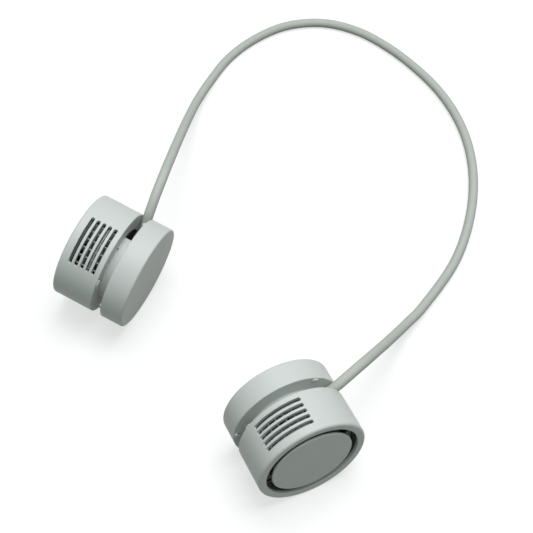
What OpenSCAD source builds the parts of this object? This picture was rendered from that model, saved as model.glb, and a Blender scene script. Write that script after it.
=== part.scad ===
// Electric neck fan: two round fan pods joined by one cord, which winds into the
// groove of each pod. Every pod is drawn upright, its rear face on z = 0 and its
// front up, with the middle of its air slots on +X, and is then laid on its side.

/* [Pod] */
// outer radius of a pod
pod_radius = 30; // [29:0.5:34]
// depth of the back disc
disc_depth = 13.1; // [13:0.1:18]
// width of the groove that the cord winds into
groove_width = 5.9; // [5.8:0.1:7]
// depth of the fan drum
drum_depth = 24; // [24:0.5:28]
// thickness of the shells
shell = 2; // [1.8:0.1:2.2]
// rounding of the drum's front edge
front_round = 1.4; // [1:0.1:1.8]
// rounding of the back disc's rear edge
rear_round = 1; // [0.6:0.1:1.4]
// rounding of the edges beside the groove
groove_round = 0.4; // [0.3:0.1:0.5]

/* [Front] */
// width of the front ring
ring_width = 4.2; // [4:0.1:5]
// gap between the front ring and the front disc
front_gap = 3.4; // [3:0.1:4.5]
// how far the front disc lies behind the ring
disc_recess = 0.2; // [0.1:0.1:0.8]
// thickness of the front disc
disc_plate = 1; // [0.8:0.1:1.4]
// bevel of the front disc's edge
disc_bevel = 0.4; // [0.3:0.1:0.6]
// fall of the front ring's face towards the gap
ring_fall = 0.2; // [0.1:0.1:0.6]

/* [Air slots] */
// number of slots beside each other
slot_count = 5; // [3:1:5]
// distance from slot to slot
slot_pitch = 3.5; // [3.3:0.05:3.7]
// width of a slot
slot_width = 2.2; // [1.6:0.1:2.4]
// angle that a slot covers, from tip to tip
slot_span = 55; // [30:1:70]
// distance from the front edge to the middle slot
slot_middle = 13; // [12.4:0.1:13.4]

/* [Blower] */
// clearance between the blades and the drum's wall
blade_clearance = 1.1; // [0.8:0.1:2]
// depth of the blades, along the radius
blade_depth = 5.3; // [4.5:0.1:6.5]
// number of blades
blade_count = 36; // [24:1:40]
// thickness of a blade
blade_thick = 0.8; // [0.6:0.1:1]
// slant of a blade from the radius
blade_slant = 28; // [0:1:35]

/* [Cord] */
// diameter of the cord
cord_diameter = 5.6; // [5:0.1:5.6]

/* [Controls] */
// radius of the power button
button_radius = 3.5; // [3:0.1:3.8]
// how far the button presses in
button_travel = 0.6; // [0.3:0.1:0.6]

/* [Hidden] */
$fn = 96;
// clearance between pieces that fit into each other
fit = 0.05;
// clearance of the shaft in its bearing
shaft_fit = 0.03;
// overshoot of a cut
over = 1;

// heights along a pod
wall_base = disc_depth - shell;
groove_top = disc_depth + groove_width;
fan_floor = groove_top + shell;
pod_top = groove_top + drum_depth;
// shells overlap by a step this high
step = 0.8;
bore_radius = pod_radius - shell;
// a right angle
quarter = 90;

// the front
ring_radius = pod_radius - ring_width;
disc_radius = ring_radius - front_gap;
front_wall = 2;
ring_base = pod_top - front_wall;
disc_top = pod_top - disc_recess;
disc_base = disc_top - disc_plate;
collar_depth = 3.7;
collar_base = ring_base - collar_depth;
collar_wall = 1;
collar_flange = 1;
ledge_width = 0.9;
ledge_height = 0.8;
spider_base = collar_base + ledge_height;
spider_height = 1;
spider_width = 1.1;
spider_middle = 5;
rib_count = 4;
rib_thick = 1.6;
rib_inset = 3;
rib_end = disc_radius - rib_inset;

// how much lower a slot's straight part is than its round ends
slot_blend = 0.02;

// the blower
blade_radius = bore_radius - blade_clearance;
blade_inner = blade_radius - blade_depth;
blade_gap = 0.5;
blade_base = fan_floor + over;
blade_top = collar_base - blade_gap;
hoop = 0.8;
band_depth = 15.6;
band_width = 1.2;
wheel_depth = 12;
wheel_plate = 1.2;
wheel_base = pod_top - wheel_depth;

// the motor
boss_radius = 4.5;
boss_height = 6;
bearing_radius = 3;
bearing_floor = 0.8;
shaft_radius = 1;
can_radius = 9.2;
can_wall = 1;
can_base = fan_floor + 2;
magnet_radius = 7.5;
magnet_margin = 0.6;
magnet_height = 5;
stator_radius = 7.2;
stator_base = fan_floor + 1.6;
stator_height = 5.4;
stator_slots = 9;
stator_slot_radius = 0.8;
stator_slot_place = 6.9;
socket_radius = 10.6;
socket_depth = 6.5;
ring_board_inner = 5.6;
ring_board_radius = 12.5;
ring_board_thick = 1;
wire_hole_radius = 1.5;
wire_hole_place = 7.8;

// the spool and its nubs
groove_deep = 8.7;
hub_radius = pod_radius - groove_deep;
hub_hole = 10;
nub_angle = 6;
nub_height = 0.9;
nub_width = 1.4;
nub_inset = 0.6;
nub_root = 0.7;
drum_nub = 34.2;
disc_nub = -56;
notch_angle = 6;
notch_width = 1.6;
notch_depth = 0.8;
notch_gap = 0.2;
notch_radius = pod_radius - nub_inset - nub_width - notch_gap;
nub_count = 3;
// the drum's nubs, of the three even places: the cord leaves over the third
drum_nubs = [0, 1];
// a small slot at the hub's root, where the drum's catch goes in
catch_turn = 13.5;
catch_angle = 5;
catch_depth = 1;
catch_high = 0.9;

// the screws
screw_count = 3;
screw_turn = 18;
screw_inset = 4.7;
screw_place = hub_radius - screw_inset;
screw_radius = 0.95;
screw_hole = 1.15;
screw_head = 1.8;
screw_head_height = 1;
screw_tip = 4;
screw_drive = 0.7;
screw_drive_depth = 0.5;
boss_wall = 1.4;

// the battery and the board
battery_room = 3.8;
battery_radius = screw_place - battery_room;
board_thick = 1.2;
board_clear = 1.7;
board_base = wall_base - board_clear - board_thick;
battery_gap = 0.2;
board_room = 1.5;
board_radius = bore_radius - board_room;
board_post = 1.4;
board_post_inset = 2;
board_post_place = board_radius - board_post_inset;
board_post_turn = 40;

// the controls, on the right pod
control_inset = 7.5;
control_place = bore_radius - control_inset;
button_turn = 60;
button_flange = 0.9;
button_flange_height = 0.8;
stem_radius = 1.5;
stem_gap = 0.1;
switch_size = 4;
switch_height = 1.8;
lamp_radius = 1;
lamp_turn = 30;
socket_turn = -147;
charge_width = 9;
charge_height = 3.2;
charge_length = 7.3;
charge_inset = 0.5;
charge_wall = 0.4;
charge_margin = 0.2;
charge_tongue = 0.7;
charge_tongue_width = 6.6;
charge_tongue_length = 5;

// where the pods lie: rear face's middle, heading, lean and roll about their own axis
left_x = -31.75;
left_y = 41.35;
left_heading = -115.9;
left_lean = 11.4;
left_roll = 63.2;
right_x = 38.1;
right_y = -35;
right_heading = 25.85;
right_lean = 0;
right_roll = 112.7;

// the port that the cord comes out of: the line that it starts along, as the angle
// and distance of its foot from the axis and the start along it
port_half = 3.1;
port_back = 4;
left_port_foot = -42.2;
left_port_inset = 4;
left_port_off = left_port_inset - hub_radius;
left_port_start = 7;
right_port_foot = -174.2;
right_port_off = 0;
right_port_inset = 5.3;
right_port_start = hub_radius - right_port_inset;
// the open pocket beside the left port, as angles from the slots' middle
pocket_first = 37.5;
pocket_last = 104;
pocket_deep = 6;
lay_length = 30;

// the cord's route on the ground, by hand
cord_points = [
    [-35.11, 66.91, 40.05], [-32.33, 69.67, 46.93], [-29.66, 74.26, 52.63], [-27.05, 80.56, 56.45],
    [-24.69, 87.86, 58.02], [-22.99, 95.48, 57.2], [-21.85, 103.71, 53.96], [-20.72, 114.36, 48.55],
    [-19.22, 128.53, 41.29], [-16.8, 149.8, 30.4], [-14, 172.8, 18.6], [-9.9, 196.2, 8.3],
    [-2.3, 218, 3.7], [8.7, 238.5, 2.9], [26.7, 257.5, 2.9], [47.8, 269.6, 2.9],
    [71.1, 272.1, 2.9], [93.1, 264.7, 2.9], [112.7, 249.7, 2.9], [129.7, 230.7, 2.9],
    [143.9, 209.3, 2.9], [154.2, 184, 2.9], [159.1, 156.8, 2.9], [158.6, 129.1, 2.9],
    [153.7, 102.7, 2.9], [145.4, 78.4, 2.9], [121.1, 38.7, 4.2], [111.2, 24.6, 9.2],
    [101.7, 8.2, 20.2], [93.7, -6.3, 31.4], [87.95, -16.44, 39.23], [83.9, -23.02, 43.75],
    [79.12, -28.92, 45.85], [74.19, -33.75, 45.73], [68.93, -37.78, 43.92], [63.29, -40.63, 40.97]
];
cord_sides = 10;

// placing

function side_x(side) = side < 0 ? left_x : right_x;
function side_y(side) = side < 0 ? left_y : right_y;
function side_heading(side) = side < 0 ? left_heading : right_heading;
function side_lean(side) = side < 0 ? left_lean : right_lean;
function side_roll(side) = side < 0 ? left_roll : right_roll;
function side_z(side) = (pod_radius - rear_round) * cos(side_lean(side))
    + rear_round - rear_round * sin(side_lean(side));
function axis_x(side) = sin(side_heading(side)) * cos(side_lean(side));
function axis_y(side) = -cos(side_heading(side)) * cos(side_lean(side));
function axis_z(side) = sin(side_lean(side));
function along(side) = [axis_x(side), axis_y(side), axis_z(side)];
function across(side) = [cos(side_heading(side)), sin(side_heading(side)), 0];
function upward(side) = cross(along(side), across(side));
// a direction and a point of a pod, in the object's frame
function turned(side, angle) = across(side) * cos(angle + side_roll(side))
    + upward(side) * sin(angle + side_roll(side));
function placed(side, angle, off, start) =
    [side_x(side), side_y(side), side_z(side)]
    + along(side) * (disc_depth + groove_width / 2)
    + turned(side, angle) * off
    + turned(side, angle + quarter) * start;

module place(side) {
    translate([side_x(side), side_y(side), side_z(side)])
        rotate([quarter - side_lean(side), 0, side_heading(side)])
            rotate([0, 0, side_roll(side)])
                children();
}

// shapes

module ring(inner, outer, low, high) {
    translate([0, 0, low])
        rotate_extrude()
            translate([inner, 0])
                square([outer - inner, high - low]);
}

module top_corner(radius, high, round) {
    translate([radius - round, high - round])
        difference() {
            square([round + over, round + over]);
            circle(round);
        }
}

module low_corner(radius, low, round) {
    translate([radius - round, low + round])
        difference() {
            translate([0, -round - over])
                square([round + over, round + over]);
            circle(round);
        }
}

module arc_block(inner, outer, low, high, middle, angle) {
    rotate([0, 0, middle - angle / 2])
        translate([0, 0, low])
            rotate_extrude(angle = angle)
                translate([inner, 0])
                    square([outer - inner, high - low]);
}

module spokes(count, first) {
    for (i = [0 : count - 1])
        rotate([0, 0, first + i * 360 / count])
            children();
}

module screw_holes(radius, low, high) {
    spokes(screw_count, screw_turn)
        translate([screw_place, 0, low])
            cylinder(h = high - low, r = radius);
}

// the drum

module slots() {
    tip = asin(slot_width / 2 / pod_radius);
    reach = slot_span / 2 - tip;
    for (i = [0 : slot_count - 1])
        translate([0, 0, pod_top - slot_middle + (i - (slot_count - 1) / 2) * slot_pitch]) {
            arc_block(bore_radius - over, pod_radius + over,
                -slot_width / 2 + slot_blend, slot_width / 2 - slot_blend, 0, reach * 2);
            for (a = [-reach, reach])
                rotate([0, 0, a])
                    translate([bore_radius - over, 0, 0])
                        rotate([0, 90, 0])
                            cylinder(h = shell + over * 2, d = slot_width);
        }
}

module fan_case(side) {
    place(side)
        color([0.62, 0.66, 0.61])
            difference() {
                rotate_extrude()
                    difference() {
                        polygon([
                            [bore_radius, groove_top + shell - step],
                            [pod_radius, groove_top + shell - step],
                            [pod_radius, pod_top],
                            [pod_radius - front_round, pod_top],
                            [ring_radius, pod_top - ring_fall],
                            [ring_radius, ring_base],
                            [bore_radius, ring_base]
                        ]);
                        top_corner(pod_radius, pod_top, front_round);
                    }
                slots();
            }
}

module inlet_collar(side) {
    place(side)
        color([0.2, 0.21, 0.2])
            rotate_extrude()
                polygon([
                    [ring_radius - ledge_width, collar_base],
                    [ring_radius + collar_wall, collar_base],
                    [ring_radius + collar_wall, ring_base - collar_flange],
                    [bore_radius - fit, ring_base - collar_flange],
                    [bore_radius - fit, ring_base],
                    [ring_radius, ring_base],
                    [ring_radius, spider_base],
                    [ring_radius - ledge_width, spider_base]
                ]);
}

module front_disc(side) {
    place(side)
        color([0.55, 0.6, 0.55])
            rotate_extrude()
                polygon([
                    [0, disc_base],
                    [disc_radius, disc_base],
                    [disc_radius, disc_top - disc_bevel],
                    [disc_radius - disc_bevel, disc_top],
                    [0, disc_top]
                ]);
}

module disc_spider(side) {
    place(side)
        color([0.2, 0.21, 0.2]) {
            ring(ring_radius - fit - spider_width, ring_radius - fit,
                spider_base, spider_base + spider_height);
            ring(0, spider_middle, spider_base, disc_base);
            spokes(rib_count, 0) {
                translate([0, -rib_thick / 2, spider_base])
                    cube([ring_radius - spider_width / 2, rib_thick, spider_height]);
                translate([0, -rib_thick / 2, spider_base])
                    cube([rib_end, rib_thick, disc_base - spider_base]);
            }
        }
}

module impeller(side) {
    length = (blade_radius - blade_inner) / cos(blade_slant) - hoop;
    place(side)
        color([0.3, 0.33, 0.31]) {
            ring(blade_inner, blade_radius, blade_base, blade_base + hoop);
            ring(blade_inner, blade_radius, blade_top - hoop, blade_top);
            ring(blade_radius - band_width, blade_radius,
                pod_top - band_depth - hoop, pod_top - band_depth);
            ring(0, blade_radius, wheel_base, wheel_base + wheel_plate);
            ring(can_radius + fit, socket_radius, wheel_base - socket_depth, wheel_base + fit);
            spokes(blade_count, 0)
                translate([blade_inner + hoop / 2, 0, blade_base])
                    rotate([0, 0, -side * blade_slant])
                        translate([0, -blade_thick / 2, 0])
                            cube([length, blade_thick, blade_top - blade_base]);
        }
}

module motor_rotor(side) {
    place(side)
        color([0.7, 0.7, 0.72]) {
            ring(can_radius - can_wall, can_radius, can_base, wheel_base);
            ring(0, can_radius, wheel_base - can_wall, wheel_base);
            ring(magnet_radius, can_radius - can_wall / 2, can_base + magnet_margin,
                can_base + magnet_margin + magnet_height);
            ring(0, shaft_radius, groove_top + bearing_floor + fit, wheel_base - can_wall / 2);
        }
}

module motor_stator(side) {
    place(side)
        color([0.55, 0.35, 0.2])
            difference() {
                ring(boss_radius, stator_radius, stator_base, stator_base + stator_height);
                spokes(stator_slots, 0)
                    translate([stator_slot_place, 0, stator_base - over])
                        cylinder(h = stator_height + over * 2, r = stator_slot_radius, $fn = 24);
            }
}

module motor_board(side) {
    place(side)
        color([0.15, 0.35, 0.2])
            difference() {
                ring(ring_board_inner, ring_board_radius, fan_floor, fan_floor + ring_board_thick);
                translate([wire_hole_place, 0, fan_floor - over])
                    cylinder(h = ring_board_thick + over * 2, r = wire_hole_radius);
            }
}

module bearing(side) {
    place(side)
        color([0.7, 0.55, 0.3])
            ring(shaft_radius + shaft_fit, bearing_radius,
                groove_top + bearing_floor, fan_floor + boss_height);
}

module fan_back(side) {
    place(side)
        color([0.6, 0.64, 0.6])
            difference() {
                union() {
                    rotate_extrude()
                        difference() {
                            polygon([
                                [0, groove_top],
                                [pod_radius, groove_top],
                                [pod_radius, fan_floor - step],
                                [bore_radius - fit, fan_floor - step],
                                [bore_radius - fit, fan_floor],
                                [0, fan_floor]
                            ]);
                            low_corner(pod_radius, groove_top, groove_round);
                        }
                    ring(0, boss_radius, fan_floor - step, fan_floor + boss_height);
                    for (i = drum_nubs)
                        arc_block(pod_radius - nub_inset - nub_width,
                            pod_radius - nub_inset, groove_top - nub_height,
                            groove_top + nub_root, side * (drum_nub + i * 360 / nub_count),
                            nub_angle);
                }
                ring(0, bearing_radius, groove_top + bearing_floor,
                    fan_floor + boss_height + over);
                translate([wire_hole_place, 0, groove_top - over])
                    cylinder(h = shell + over * 2, r = wire_hole_radius);
                screw_holes(screw_hole, groove_top - over, fan_floor);
                screw_holes(screw_head + fit, fan_floor - screw_head_height, fan_floor + over);
                for (i = drum_nubs)
                    arc_block(notch_radius - notch_width, notch_radius, groove_top - over,
                        groove_top + notch_depth, side * (drum_nub + i * 360 / nub_count),
                        notch_angle);
            }
}

// the spool

module port_cut(foot, off, start) {
    rotate([0, 0, foot])
        translate([off - port_half, start, disc_depth - over])
            cube([port_half * 2, lay_length, groove_width + over * 2]);
}

module port_seat(foot, off, start) {
    rotate([0, 0, foot])
        translate([off - port_half, start - port_back, disc_depth])
            cube([port_half * 2, port_back, groove_width]);
}

module grommet_space(side) {
    if (side < 0)
        port_seat(left_port_foot, left_port_off, left_port_start);
    if (side > 0)
        port_seat(right_port_foot, right_port_off, right_port_start);
}

module spool_hub(side) {
    place(side)
        color([0.6, 0.64, 0.6])
            difference() {
                ring(hub_hole, hub_radius, disc_depth, groove_top);
                screw_holes(screw_hole, disc_depth - over, groove_top + over);
                if (side < 0) {
                    port_cut(left_port_foot, left_port_off, left_port_start - port_back);
                    arc_block(hub_radius - pocket_deep, hub_radius + over,
                        disc_depth - over, groove_top + over,
                        (pocket_first + pocket_last) / 2, pocket_last - pocket_first);
                }
                if (side > 0) {
                    port_cut(right_port_foot, right_port_off, right_port_start - port_back);
                }
                arc_block(hub_radius - catch_depth, hub_radius + over,
                    groove_top - catch_high, groove_top + over, -side * catch_turn,
                    catch_angle);
            }
}

module cord_grommet(side) {
    place(side)
        color([0.35, 0.37, 0.35])
            grommet_space(side);
}

// the back disc

module spool_wall(side) {
    place(side)
        color([0.6, 0.64, 0.6])
            difference() {
                union() {
                    rotate_extrude()
                        difference() {
                            polygon([
                                [0, wall_base],
                                [bore_radius - fit, wall_base],
                                [bore_radius - fit, disc_depth - shell + step],
                                [pod_radius, disc_depth - shell + step],
                                [pod_radius, disc_depth],
                                [0, disc_depth]
                            ]);
                            top_corner(pod_radius, disc_depth, groove_round);
                        }
                    for (i = [0 : nub_count - 1])
                        arc_block(pod_radius - nub_inset - nub_width,
                            pod_radius - nub_inset, disc_depth - nub_root,
                            disc_depth + nub_height, side * disc_nub + i * 360 / nub_count,
                            nub_angle);
                }
                screw_holes(screw_hole, wall_base - over, disc_depth + over);
                translate([wire_hole_place, 0, wall_base - over])
                    cylinder(h = shell + over * 2, r = wire_hole_radius);
                for (i = [0 : nub_count - 1])
                    arc_block(notch_radius - notch_width, notch_radius,
                        disc_depth - notch_depth,
                        disc_depth + over, side * disc_nub + i * 360 / nub_count,
                        notch_angle);
            }
}

module charge_outline(grow, low, high) {
    half = charge_height / 2 + grow;
    for (y = [-1, 1])
        translate([low, y * (charge_width - charge_height) / 2, board_base - charge_height / 2])
            rotate([0, 90, 0])
                cylinder(h = high - low, r = half, $fn = 48);
    translate([low, -(charge_width - charge_height) / 2, board_base - charge_height / 2 - half])
        cube([high - low, charge_width - charge_height, half * 2]);
}

module back_cover(side) {
    place(side)
        color([0.6, 0.64, 0.6])
            difference() {
                union() {
                    rotate_extrude()
                        difference() {
                            polygon([
                                [0, 0],
                                [pod_radius, 0],
                                [pod_radius, wall_base + step],
                                [bore_radius, wall_base + step],
                                [bore_radius, shell],
                                [0, shell]
                            ]);
                            low_corner(pod_radius, 0, rear_round);
                        }
                    screw_holes(screw_radius + boss_wall, shell - step, wall_base);
                    spokes(screw_count, board_post_turn)
                        translate([board_post_place, 0, shell - step])
                            cylinder(h = board_base - shell + step, r = board_post);
                }
                screw_holes(screw_radius, screw_tip, wall_base + over);
                if (side > 0) {
                    rotate([0, 0, button_turn])
                        translate([control_place, 0, -over])
                            cylinder(h = shell + over * 2, r = button_radius + fit * 2);
                    rotate([0, 0, lamp_turn])
                        translate([control_place, 0, -over])
                            cylinder(h = shell + over * 2, r = lamp_radius + fit);
                    rotate([0, 0, socket_turn])
                        charge_outline(charge_margin, bore_radius - over * 2, pod_radius + over);
                }
            }
}

module battery(side) {
    place(side)
        color([0.75, 0.76, 0.78])
            ring(0, battery_radius, shell, board_base - battery_gap);
}

module control_board(side) {
    place(side)
        color([0.15, 0.35, 0.2])
            difference() {
                ring(0, board_radius, board_base, board_base + board_thick);
                screw_holes(screw_radius + boss_wall + fit * 4, board_base - over,
                    board_base + board_thick + over);
                translate([wire_hole_place, 0, board_base - over])
                    cylinder(h = board_thick + over * 2, r = wire_hole_radius);
            }
}

module case_screws(side) {
    place(side)
        color([0.75, 0.75, 0.77])
            difference() {
                union() {
                    screw_holes(screw_radius, screw_tip, fan_floor - screw_head_height + fit);
                    screw_holes(screw_head, fan_floor - screw_head_height, fan_floor);
                }
                screw_holes(screw_drive, fan_floor - screw_drive_depth, fan_floor + over);
            }
}

// the controls

module at_control(turn) {
    place(1)
        rotate([0, 0, turn])
            translate([control_place, 0, 0])
                children();
}

module right_power_button() {
    at_control(button_turn)
        color([0.5, 0.53, 0.5]) {
            cylinder(h = shell + button_flange_height / 2, r = button_radius);
            translate([0, 0, shell])
                cylinder(h = button_flange_height, r = button_radius + button_flange);
            cylinder(h = board_base - switch_height - button_travel - stem_gap, r = stem_radius);
        }
}

module right_power_switch() {
    at_control(button_turn)
        color([0.2, 0.2, 0.2])
            translate([-switch_size / 2, -switch_size / 2, board_base - switch_height])
                cube([switch_size, switch_size, switch_height]);
}

module right_light_pipe() {
    at_control(lamp_turn)
        color([0.85, 0.87, 0.85])
            cylinder(h = board_base, r = lamp_radius);
}

module right_charge_socket() {
    mouth = pod_radius - charge_inset;
    place(1)
        rotate([0, 0, socket_turn])
            color([0.7, 0.7, 0.72]) {
                difference() {
                    charge_outline(0, mouth - charge_length, mouth);
                    charge_outline(-charge_wall, mouth - charge_length + charge_wall, mouth + over);
                }
                translate([mouth - charge_length + charge_wall / 2, -charge_tongue_width / 2,
                    board_base - charge_height / 2 - charge_tongue / 2])
                    cube([charge_tongue_length, charge_tongue_width, charge_tongue]);
            }
}

// the cord

// its ends, at the faces of the grommets, and its points between them
function unit(v) = v / norm(v);
cord_start = placed(-1, left_port_foot, left_port_off, left_port_start);
cord_end = placed(1, right_port_foot, right_port_off, right_port_start);
start_way = turned(-1, left_port_foot + quarter);
end_way = -turned(1, right_port_foot + quarter);
route = concat([cord_start], cord_points, [cord_end]);
last = len(route) - 1;
// the point halfway along each stretch, on the smooth curve through its neighbours
function halfway(i) =
    let (a = i > 0 ? route[i - 1] : route[i] * 2 - route[i + 1],
        d = i + 2 <= last ? route[i + 2] : route[i + 1] * 2 - route[i])
    (9 * (route[i] + route[i + 1]) - a - d) / 16;
line = [for (i = [0 : last]) each (i < last ? [route[i], halfway(i)] : [route[i]])];
line_last = len(line) - 1;
function way(i) =
    i == 0 ? start_way : i == line_last ? end_way : unit(line[i + 1] - line[i - 1]);
function sideways(i) = unit(cross(way(i), [0, 0, 1]));
function above(i) = cross(sideways(i), way(i));
cord_rings = [for (i = [0 : line_last])
    for (k = [0 : cord_sides - 1])
        let (a = k * 360 / cord_sides + 180 / cord_sides)
        line[i] + (sideways(i) * sin(a) + above(i) * cos(a)) * cord_diameter / 2];
cord_faces = concat(
    [[for (k = [0 : cord_sides - 1]) k]],
    [for (i = [0 : line_last - 1])
        for (k = [0 : cord_sides - 1])
            let (n = (k + 1) % cord_sides)
            [i * cord_sides + k, (i + 1) * cord_sides + k, (i + 1) * cord_sides + n,
                i * cord_sides + n]],
    [[for (k = [0 : cord_sides - 1]) line_last * cord_sides + cord_sides - 1 - k]]
);

module neck_cord() {
    color([0.72, 0.74, 0.7])
        polyhedron(points = cord_rings, faces = cord_faces, convexity = 8);
}

// the nodes

module left_fan_case() { fan_case(-1); }
module left_inlet_collar() { inlet_collar(-1); }
module left_front_disc() { front_disc(-1); }
module left_disc_spider() { disc_spider(-1); }
module left_impeller() { impeller(-1); }
module left_motor_rotor() { motor_rotor(-1); }
module left_motor_stator() { motor_stator(-1); }
module left_motor_board() { motor_board(-1); }
module left_bearing() { bearing(-1); }
module left_fan_back() { fan_back(-1); }
module left_spool_hub() { spool_hub(-1); }
module left_cord_grommet() { cord_grommet(-1); }
module left_spool_wall() { spool_wall(-1); }
module left_back_cover() { back_cover(-1); }
module left_battery() { battery(-1); }
module left_control_board() { control_board(-1); }
module left_case_screws() { case_screws(-1); }
module right_fan_case() { fan_case(1); }
module right_inlet_collar() { inlet_collar(1); }
module right_front_disc() { front_disc(1); }
module right_disc_spider() { disc_spider(1); }
module right_impeller() { impeller(1); }
module right_motor_rotor() { motor_rotor(1); }
module right_motor_stator() { motor_stator(1); }
module right_motor_board() { motor_board(1); }
module right_bearing() { bearing(1); }
module right_fan_back() { fan_back(1); }
module right_spool_hub() { spool_hub(1); }
module right_cord_grommet() { cord_grommet(1); }
module right_spool_wall() { spool_wall(1); }
module right_back_cover() { back_cover(1); }
module right_battery() { battery(1); }
module right_control_board() { control_board(1); }
module right_case_screws() { case_screws(1); }

left_fan_case();
left_inlet_collar();
left_front_disc();
left_disc_spider();
left_impeller();
left_motor_rotor();
left_motor_stator();
left_motor_board();
left_bearing();
left_fan_back();
left_spool_hub();
left_cord_grommet();
left_spool_wall();
left_back_cover();
left_battery();
left_control_board();
left_case_screws();
right_fan_case();
right_inlet_collar();
right_front_disc();
right_disc_spider();
right_impeller();
right_motor_rotor();
right_motor_stator();
right_motor_board();
right_bearing();
right_fan_back();
right_spool_hub();
right_cord_grommet();
right_spool_wall();
right_back_cover();
right_battery();
right_control_board();
right_case_screws();
right_power_button();
right_power_switch();
right_charge_socket();
right_light_pipe();
neck_cord();
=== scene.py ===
import math

import bmesh
import bpy
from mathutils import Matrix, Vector


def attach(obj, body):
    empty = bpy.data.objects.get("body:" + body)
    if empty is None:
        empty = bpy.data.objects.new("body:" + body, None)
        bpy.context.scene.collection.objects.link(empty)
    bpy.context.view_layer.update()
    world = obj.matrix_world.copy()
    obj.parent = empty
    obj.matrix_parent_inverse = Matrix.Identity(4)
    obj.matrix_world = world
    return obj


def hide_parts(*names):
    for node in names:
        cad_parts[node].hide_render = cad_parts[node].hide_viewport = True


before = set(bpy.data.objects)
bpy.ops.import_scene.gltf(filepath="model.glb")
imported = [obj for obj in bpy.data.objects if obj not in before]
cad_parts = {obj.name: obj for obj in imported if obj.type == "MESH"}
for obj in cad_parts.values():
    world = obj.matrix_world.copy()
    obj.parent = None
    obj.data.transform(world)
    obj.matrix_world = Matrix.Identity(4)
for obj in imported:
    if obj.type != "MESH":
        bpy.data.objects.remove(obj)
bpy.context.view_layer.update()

# The camera looks down at the two pods and the loop of cord between them, from a
# fair distance through a long lens, as the photograph was taken. The focal length is
# in pixels of the photograph, which is square.
aim = Vector((0.0336, 0.0717, 0.0))
camera_distance = 0.814
camera_height = math.radians(53.1)
lens_pixels = 1400
frame_pixels = 533
sensor_width = 36
camera_near = 0.01
camera_far = 20
towards_camera = Vector((0, -math.cos(camera_height), math.sin(camera_height)))
camera_lens = bpy.data.cameras.new("camera")
camera_lens.sensor_width = sensor_width
camera_lens.lens = lens_pixels / frame_pixels * sensor_width
camera_lens.clip_start = camera_near
camera_lens.clip_end = camera_far
camera = bpy.data.objects.new("camera", camera_lens)
camera.location = aim + towards_camera * camera_distance
camera.rotation_euler = (math.pi / 2 - camera_height, 0, 0)
bpy.context.collection.objects.link(camera)
bpy.context.scene.camera = camera
bpy.context.scene.view_settings.view_transform = "Standard"


# The neck cord: one soft round cord, moulded in a matte rubber, that comes out of the
# port in each pod's spool, crosses the rims and lies in a long loop on the ground. The
# cord is the first piece to need the classes that every finish is written with.
class Link:
    """An output of a node, so that plain arithmetic on it adds its Math nodes."""

    def __init__(self, nodes, socket):
        self.nodes = nodes
        self.socket = socket

    def work(self, operation, first, second):
        return self.nodes.node(
            "ShaderNodeMath", {"operation": operation}, {0: first, 1: second})

    def __add__(self, other):
        return self.work("ADD", self, other)

    def __radd__(self, other):
        return self.work("ADD", other, self)

    def __mul__(self, other):
        return self.work("MULTIPLY", self, other)

    def __rmul__(self, other):
        return self.work("MULTIPLY", other, self)


class Nodes:
    """The emptied node tree of a material or world, and what adds nodes to it."""

    def __init__(self, owner):
        owner.use_nodes = True
        self.tree = owner.node_tree
        self.tree.nodes.clear()

    def node(self, kind, settings=None, inputs=None, output=0):
        """Adds a node, feeds it, and gives the output that is named, if one is."""
        made = self.tree.nodes.new(kind)
        for setting, value in (settings or {}).items():
            setattr(made, setting, value)
        for socket, value in (inputs or {}).items():
            self.feed(made.inputs[socket], value)
        return None if output is None else Link(self, made.outputs[output])

    def feed(self, socket, value):
        if isinstance(value, Link):
            self.tree.links.new(value.socket, socket)
        else:
            socket.default_value = value

    def blend(self, amount, first, second):
        return self.node(
            "ShaderNodeMix", {"data_type": "RGBA"},
            {"Factor": amount, "A": first, "B": second}, "Result")


class Finish(Nodes):
    """A material of one shader, whose varying inputs come from expressions."""

    def __init__(self, name, **constants):
        self.material = bpy.data.materials.new(name)
        super().__init__(self.material)
        surface = self.node("ShaderNodeBsdfPrincipled", output="BSDF")
        self.shader = surface.socket.node
        self.node("ShaderNodeOutputMaterial", {}, {"Surface": surface}, output=None)
        self.place = self.node("ShaderNodeTexCoord", output="Object")
        for socket, value in constants.items():
            self.set(socket.replace("_", " "), value)

    def set(self, socket, value):
        self.feed(self.shader.inputs[socket], value)

    def noise(self, grain, detail=2):
        """Soft noise from 0 to 1, whose grain is a size in metres."""
        return self.node(
            "ShaderNodeTexNoise", {},
            {"Vector": self.place, "Scale": 1 / grain, "Detail": detail})

    def tint(self, first, second, grain, detail=2):
        """Makes the colour waver between two that are near each other."""
        self.set("Base Color", self.blend(self.noise(grain, detail), first, second))

    def polish(self, least, spread, grain, detail=2):
        """Makes the roughness waver above its least value."""
        self.set("Roughness", self.noise(grain, detail) * spread + least)

    def relief(self, depth, strength, grain, detail=2):
        """Roughens the surface with a fine grain, as deep as depth in metres."""
        height = self.noise(grain, detail)
        self.set("Normal", self.node(
            "ShaderNodeBump", {},
            {"Height": height, "Distance": depth, "Strength": strength}))

    def coat(self, *names):
        """Gives the finish to CAD nodes, whose meshes stay as they are."""
        for name in names:
            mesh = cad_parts[name].data
            mesh.materials.clear()
            mesh.materials.append(self.material)

    def coat_both(self, *names):
        """Gives the finish to the left and the right pod's nodes of these names."""
        for name in names:
            self.coat(f"left_{name}", f"right_{name}")


def colour(red, green, blue):
    """A colour as a screen shows it, from 0 to 255, in a shader's linear values."""
    def linear(level):
        level = level / 255
        return level / 12.92 if level <= 0.04045 else ((level + 0.055) / 1.055) ** 2.4
    return (linear(red), linear(green), linear(blue), 1)


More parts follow.
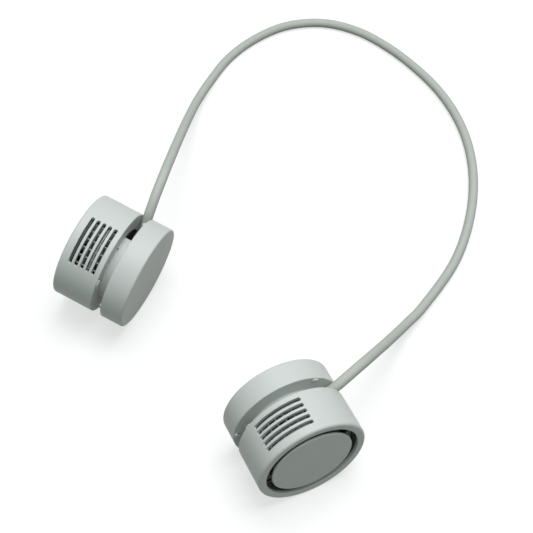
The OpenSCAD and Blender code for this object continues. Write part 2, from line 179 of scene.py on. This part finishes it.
cord_radius = 0.0028
cord_facets = 7
cord_steps = 10
cord_start = (-0.037693, 0.064979, 0.032731)
cord_start_way = (0.3225, 0.2418, 0.9152)
cord_end = (0.057752, -0.043313, 0.037635)
cord_end_way = (-0.7909, -0.3832, -0.4772)
cord_points = (
    (-0.03511, 0.06691, 0.04005), (-0.03233, 0.06967, 0.04693),
    (-0.02966, 0.07426, 0.05263), (-0.02705, 0.08056, 0.05645),
    (-0.02469, 0.08786, 0.05802), (-0.02299, 0.09548, 0.0572),
    (-0.02185, 0.10371, 0.05396), (-0.02072, 0.11436, 0.04855),
    (-0.01922, 0.12853, 0.04129), (-0.0168, 0.1498, 0.0304), (-0.014, 0.1728, 0.0186),
    (-0.0099, 0.1962, 0.0083), (-0.0023, 0.218, 0.0037), (0.0087, 0.2385, 0.0029),
    (0.0267, 0.2575, 0.0029), (0.0478, 0.2696, 0.0029), (0.0711, 0.2721, 0.0029),
    (0.0931, 0.2647, 0.0029), (0.1127, 0.2497, 0.0029), (0.1297, 0.2307, 0.0029),
    (0.1439, 0.2093, 0.0029), (0.1542, 0.184, 0.0029), (0.1591, 0.1568, 0.0029),
    (0.1586, 0.1291, 0.0029), (0.1537, 0.1027, 0.0029), (0.1454, 0.0784, 0.0029),
    (0.1211, 0.0387, 0.0042), (0.1112, 0.0246, 0.0092), (0.1017, 0.0082, 0.0202),
    (0.0937, -0.0063, 0.0314), (0.08795, -0.01644, 0.03923),
    (0.0839, -0.02302, 0.04375), (0.07912, -0.02892, 0.04585),
    (0.07419, -0.03375, 0.04573), (0.06893, -0.03778, 0.04392),
    (0.06329, -0.04063, 0.04097)
)
route = [Vector(point) for point in (cord_start, *cord_points, cord_end)]
cord_curve = bpy.data.curves.new("neck_cord", "CURVE")
cord_curve.dimensions = "3D"
cord_curve.bevel_depth = cord_radius
cord_curve.bevel_resolution = cord_facets
cord_curve.resolution_u = cord_steps
cord_curve.use_fill_caps = True
line = cord_curve.splines.new("BEZIER")
line.bezier_points.add(len(route) - 1)
# at each point the cord's way lies between those of the two strides that meet there,
# nearer to that of the shorter one
strides = [after - before for before, after in zip(route, route[1:])]
bends = [
    (before / before.length ** 2 + after / after.length ** 2).normalized()
    for before, after in zip(strides, strides[1:])]
ways = [Vector(cord_start_way), *bends, Vector(cord_end_way)]
befores = [strides[0], *strides]
afters = [*strides, strides[-1]]
for knot, point, way, before, after in zip(
        line.bezier_points, route, ways, befores, afters):
    back = before.length / 3
    ahead = after.length / 3
    # near the ground, the cord's middle stays half its thickness above it
    fall = (point.z - cord_radius) / (back if way.z > 0 else ahead)
    if abs(way.z) > fall:
        way.z = math.copysign(max(fall, 0), way.z)
        way.normalize()
    knot.co = point
    knot.handle_left_type = "FREE"
    knot.handle_right_type = "FREE"
    knot.handle_left = point - way * back
    knot.handle_right = point + way * ahead
neck_cord = bpy.data.objects.new("neck_cord_moulded", cord_curve)
bpy.context.collection.objects.link(neck_cord)

rubber = Finish("cord_rubber", Specular_IOR_Level=0.35)
rubber.tint(colour(180, 184, 177), colour(188, 192, 185), grain=0.006, detail=3)
rubber.polish(least=0.55, spread=0.1, grain=0.002)
rubber.relief(depth=0.00004, strength=0.25, grain=0.0006)
cord_curve.materials.append(rubber.material)
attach(neck_cord, "pods_and_cord")
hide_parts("neck_cord")


# The pods' shells: fan cases, front discs, fan backs, spools and back covers, all
# moulded in the same sage-grey plastic, with a fine even grain from the mould. Three
# long screws hold each pod's shells together.
shell_plastic = Finish("shell_plastic", Specular_IOR_Level=0.3)
shell_plastic.tint(colour(203, 207, 204), colour(208, 212, 209), grain=0.03, detail=3)
shell_plastic.polish(least=0.42, spread=0.08, grain=0.004)
shell_plastic.relief(depth=0.00002, strength=0.3, grain=0.00035)
shell_plastic.coat_both(
    "fan_case", "front_disc", "fan_back",
    "spool_hub", "spool_wall", "back_cover")


# The throats behind the front rings: one collar each, moulded in a dark grey plastic
# and seated in the fan case's bore. It guides the air into the wheel, and it shows
# behind the first slot.
throat_plastic = Finish("throat_plastic", Specular_IOR_Level=0.3)
throat_plastic.tint(colour(92, 100, 95), colour(100, 108, 103), grain=0.01)
throat_plastic.polish(least=0.55, spread=0.1, grain=0.003)
throat_plastic.relief(depth=0.00003, strength=0.3, grain=0.0005)
throat_plastic.coat_both("inlet_collar")


# The front discs' spiders: black four-armed mouldings that rest on the collars'
# ledges, with the discs glued to their middles.
spider_plastic = Finish("spider_plastic", Specular_IOR_Level=0.3)
spider_plastic.tint(colour(34, 36, 34), colour(42, 44, 42), grain=0.006)
spider_plastic.polish(least=0.5, spread=0.1, grain=0.003)
spider_plastic.relief(depth=0.00003, strength=0.3, grain=0.0005)
spider_plastic.coat_both("disc_spider")


# The blower wheels, seen through the slots: one moulding each of blades between
# hoops, in a plastic of a darker grey than the shells, pressed onto the motor's can.
wheel_plastic = Finish("wheel_plastic", Specular_IOR_Level=0.4)
wheel_plastic.tint(colour(150, 156, 151), colour(158, 164, 159), grain=0.008)
wheel_plastic.polish(least=0.45, spread=0.1, grain=0.003)
wheel_plastic.relief(depth=0.00003, strength=0.2, grain=0.0008)
wheel_plastic.coat_both("impeller")


# The small metal pieces: the motors' cans and shafts, the long case screws and the
# charge socket's shell, in drawn and turned steel.
steel = Finish("bright_steel", Metallic=1.0)
steel.tint(colour(186, 186, 188), colour(204, 204, 206), grain=0.002)
steel.polish(least=0.25, spread=0.2, grain=0.0009, detail=4)
steel.relief(depth=0.00001, strength=0.2, grain=0.0003)
steel.coat_both("motor_rotor", "case_screws")
steel.coat("right_charge_socket")


# The motors' stators: stacked iron sheets with lacquered copper wound on their teeth.
# They sit round the bosses of the fan backs, inside the motors' cans.
stator_copper = Finish("stator_copper", Metallic=0.8)
stator_copper.tint(colour(120, 70, 45), colour(176, 112, 76), grain=0.0008, detail=4)
stator_copper.polish(least=0.3, spread=0.2, grain=0.001)
stator_copper.relief(depth=0.00008, strength=0.5, grain=0.0004)
stator_copper.coat_both("motor_stator")


# The circuit boards: green glass cloth under a glossy lacquer, on posts in the covers
# and under the motors.
board_green = Finish("board_green", Roughness=0.3, Specular_IOR_Level=0.5)
board_green.tint(colour(18, 74, 42), colour(28, 96, 56), grain=0.0015, detail=4)
board_green.relief(depth=0.00002, strength=0.3, grain=0.0005)
board_green.coat_both("control_board", "motor_board")


# The bearings: sleeves of sintered bronze, soaked in oil and pressed into the motors'
# bosses, in which the shafts turn.
bronze = Finish("sintered_bronze", Metallic=1.0)
bronze.tint(colour(150, 112, 66), colour(186, 146, 92), grain=0.0004, detail=4)
bronze.polish(least=0.4, spread=0.2, grain=0.0005)
bronze.relief(depth=0.00004, strength=0.5, grain=0.0003)
bronze.coat_both("bearing")


# The batteries: one round cell in each pod, in a shrunk plastic sleeve, which lies
# flat on the back cover's floor.
cell_sleeve = Finish("cell_sleeve", Specular_IOR_Level=0.5)
cell_sleeve.tint(colour(186, 188, 194), colour(202, 204, 210), grain=0.004)
cell_sleeve.polish(least=0.25, spread=0.15, grain=0.002)
cell_sleeve.relief(depth=0.00005, strength=0.3, grain=0.003)
cell_sleeve.coat_both("battery")


# The cord's grommets: blocks of soft dark rubber, pushed into the seats of the spools'
# ports, where they grip the cord.
grommet_rubber = Finish("grommet_rubber", Specular_IOR_Level=0.25)
grommet_rubber.tint(colour(66, 70, 66), colour(78, 82, 78), grain=0.002)
grommet_rubber.polish(least=0.7, spread=0.1, grain=0.001)
grommet_rubber.relief(depth=0.00006, strength=0.4, grain=0.0006)
grommet_rubber.coat_both("cord_grommet")


# Painted shade in the left port: a thin black tray in the spool's pocket beside the
# cord, with a wall against the drum, which stands for the shade deep in the pocket.
# Its radii and depths are those of its cross-section.
painted_shade_inner = 0.01535
painted_shade_floor = 0.0158
painted_shade_outer = 0.0211
painted_shade_front = 0.0133
painted_shade_step = 0.0184
painted_shade_back = 0.01895
painted_shade_edge = 0.0001
painted_shade_first = math.radians(101.5)
painted_shade_last = math.radians(153)
painted_shade_steps = 36
# the middle of the left pod's back face, the pod's axis from there to its front, and
# the level line and the rising line across it
left_middle = Vector((-0.03175, 0.04135, 0.02923))
left_axis = Vector((-0.881811, 0.428184, 0.197657))
left_level = Vector((-0.4368, -0.8996, 0)).normalized()
left_rise = left_axis.cross(left_level)
painted_shade_profile = (
    (painted_shade_inner, painted_shade_front),
    (painted_shade_floor - painted_shade_edge, painted_shade_front),
    (painted_shade_floor, painted_shade_front + painted_shade_edge),
    (painted_shade_floor, painted_shade_step - painted_shade_edge),
    (painted_shade_floor + painted_shade_edge, painted_shade_step),
    (painted_shade_outer - painted_shade_edge, painted_shade_step),
    (painted_shade_outer, painted_shade_step + painted_shade_edge),
    (painted_shade_outer, painted_shade_back),
    (painted_shade_inner, painted_shade_back))
painted_shade = bmesh.new()
rings = []
for step in range(painted_shade_steps + 1):
    turn = painted_shade_first + (painted_shade_last - painted_shade_first) * step / painted_shade_steps
    out = left_level * math.cos(turn) + left_rise * math.sin(turn)
    rings.append([painted_shade.verts.new(left_middle + out * radius + left_axis * depth)
                  for radius, depth in painted_shade_profile])
for ring, after in zip(rings, rings[1:]):
    for place in range(len(ring)):
        painted_shade.faces.new((ring[place - 1], ring[place], after[place], after[place - 1]))
painted_shade.faces.new(rings[0])
painted_shade.faces.new(rings[-1])
bmesh.ops.recalc_face_normals(painted_shade, faces=painted_shade.faces)
painted_shade_mesh = bpy.data.meshes.new("left_port_painted_shade")
painted_shade.to_mesh(painted_shade_mesh)
painted_shade.free()
port_painted_shade = bpy.data.objects.new("left_port_painted_shade", painted_shade_mesh)
bpy.context.collection.objects.link(port_painted_shade)
# painted shade: the tray is near black so that the pocket looks deep in shade
painted_shade_black = Finish("painted_shade_black", Specular_IOR_Level=0.2)
painted_shade_black.tint(colour(24, 25, 24), colour(32, 33, 32), grain=0.002)
painted_shade_black.polish(least=0.7, spread=0.1, grain=0.001)
painted_shade_black.relief(depth=0.00004, strength=0.4, grain=0.0006)
painted_shade_mesh.materials.append(painted_shade_black.material)
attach(port_painted_shade, "pods_and_cord")


# The power button in the right pod's back: the shell's plastic in a darker shade,
# with the small switch that it presses.
button_plastic = Finish("button_plastic", Specular_IOR_Level=0.4)
button_plastic.tint(colour(136, 142, 134), colour(144, 150, 142), grain=0.006)
button_plastic.polish(least=0.4, spread=0.08, grain=0.002)
button_plastic.relief(depth=0.00002, strength=0.3, grain=0.0004)
button_plastic.coat("right_power_button")
switch_plastic = Finish("switch_plastic", Specular_IOR_Level=0.4)
switch_plastic.tint(colour(28, 28, 29), colour(38, 38, 39), grain=0.001)
switch_plastic.polish(least=0.5, spread=0.1, grain=0.001)
switch_plastic.coat("right_power_switch")


# The light pipe beside the button: a clear acrylic rod with a frosted end, which
# leads the light of the control board's lamp out through the cover.
pipe_acrylic = Finish("pipe_acrylic", IOR=1.49, Transmission_Weight=0.6)
pipe_acrylic.tint(colour(226, 230, 224), colour(236, 240, 234), grain=0.001)
pipe_acrylic.polish(least=0.25, spread=0.1, grain=0.0005)
pipe_acrylic.coat("right_light_pipe")


# The studio: a plain floor that looks white and keeps the soft shadow, but throws back
# no more light than dark grey paper, a wide lamp overhead and a faint light from above.
def seen(nodes):
    """1 for what the camera sees, straight or by way of metal or glass, and else 0."""
    return (
        nodes.node("ShaderNodeLightPath", output="Is Camera Ray")
        + nodes.node("ShaderNodeLightPath", output="Is Glossy Ray")
        + nodes.node("ShaderNodeLightPath", output="Is Transmission Ray"))


floor_size = 12
# the floor that is seen is white partly from the light, so that shadows show on it,
# and partly from its own glow
floor_lit = (0.42, 0.42, 0.42, 1)
floor_glow = (0.63, 0.63, 0.63, 1)
black = (0, 0, 0, 1)
ground = bpy.data.meshes.new("floor")
corner = floor_size / 2
ground.from_pydata(
    [(-corner, -corner, 0), (corner, -corner, 0),
     (corner, corner, 0), (-corner, corner, 0)],
    [], [(0, 1, 2, 3)])
floor = bpy.data.objects.new("floor", ground)
bpy.context.collection.objects.link(floor)
paper = Finish(
    "floor_paper", Specular_IOR_Level=0.0, Roughness=1.0, Emission_Strength=1.0)
paper_seen = seen(paper)
grey_paper = paper.blend(
    paper.noise(grain=0.2), colour(96, 98, 92), colour(100, 102, 96))
paper.set("Base Color", paper.blend(paper_seen, grey_paper, floor_lit))
paper.set("Emission Color", paper.blend(paper_seen, black, floor_glow))
ground.materials.append(paper.material)

# the lamp's light is a little pink, which the green of the faint light evens out
lamp_power = 11.8
lamp_size = 0.8
lamp_distance = 1.3
lamp_colour = (1, 0.96, 1.03)
lamp_way = Vector((0.12, 0.03, 1)).normalized()
lamp_light = bpy.data.lights.new("overhead_lamp", "AREA")
lamp_light.shape = "SQUARE"
lamp_light.size = lamp_size
lamp_light.energy = lamp_power
lamp_light.color = lamp_colour
lamp = bpy.data.objects.new("overhead_lamp", lamp_light)
lamp.location = aim + lamp_way * lamp_distance
lamp.rotation_euler = lamp_way.to_track_quat("Z", "Y").to_euler()
bpy.context.collection.objects.link(lamp)

# the faint light is brightest overhead, in front and behind, with a little green in it
faint_overhead = 0.46
faint_ends = 0.3
faint_colour = (0.86, 1, 0.92, 1)
white = (1, 1, 1, 1)
world = bpy.data.worlds.new("studio")
bpy.context.scene.world = world
sky = Nodes(world)
sky_way = sky.node("ShaderNodeTexCoord", output="Generated")
sky_height = sky.node("ShaderNodeMath", {"operation": "MAXIMUM"}, {
    0: sky.node("ShaderNodeSeparateXYZ", {}, {0: sky_way}, "Z"), 1: 0})
sky_ends = sky.node("ShaderNodeMath", {"operation": "ABSOLUTE"}, {
    0: sky.node("ShaderNodeSeparateXYZ", {}, {0: sky_way}, "Y")})
sky_strength = sky_height * faint_overhead + sky_ends * faint_ends
sky_faint = sky.node(
    "ShaderNodeBackground", {}, {"Color": faint_colour, "Strength": sky_strength})
sky_white = sky.node("ShaderNodeBackground", {}, {"Color": white, "Strength": 1})
sky_light = sky.node(
    "ShaderNodeMixShader", {}, {0: seen(sky), 1: sky_faint, 2: sky_white})
sky.node("ShaderNodeOutputWorld", {}, {"Surface": sky_light}, output=None)
